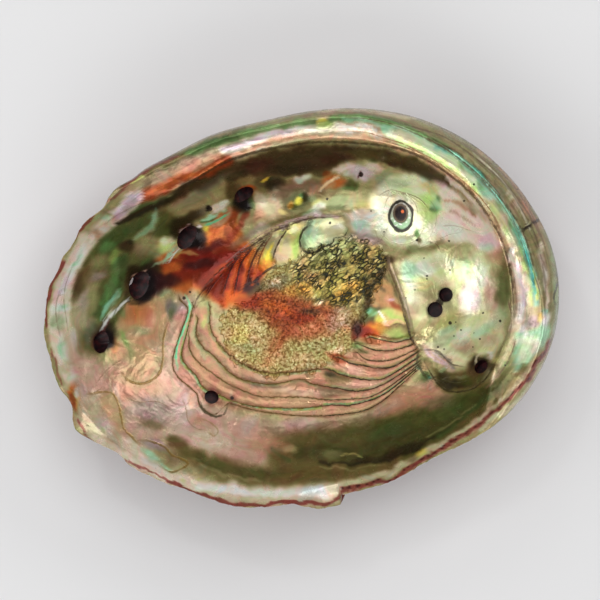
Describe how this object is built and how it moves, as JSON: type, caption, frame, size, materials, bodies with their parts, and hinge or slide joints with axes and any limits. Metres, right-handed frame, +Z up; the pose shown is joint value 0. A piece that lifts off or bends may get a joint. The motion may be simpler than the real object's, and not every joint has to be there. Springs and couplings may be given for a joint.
{
  "type": "abalone shell",
  "caption": "Oval abalone shell lying on its back, hollow side up, with a pearly bowl, a row of open pores, a thin wavy lip and a broad inner shelf.",
  "frame": {"origin": "centre of the bounding box in X and Y, on the surface the shell rests on", "axes": "+X along the shell's length towards the spire end, +Y across it towards the inner shelf, +Z up out of the bowl"},
  "size_m": [0.1794, 0.1364, 0.049],
  "materials": {
    "nacre": "gloss"
  },
  "bodies": {
    "root": {"shell": "nacre"}
  },
  "joints": []
}
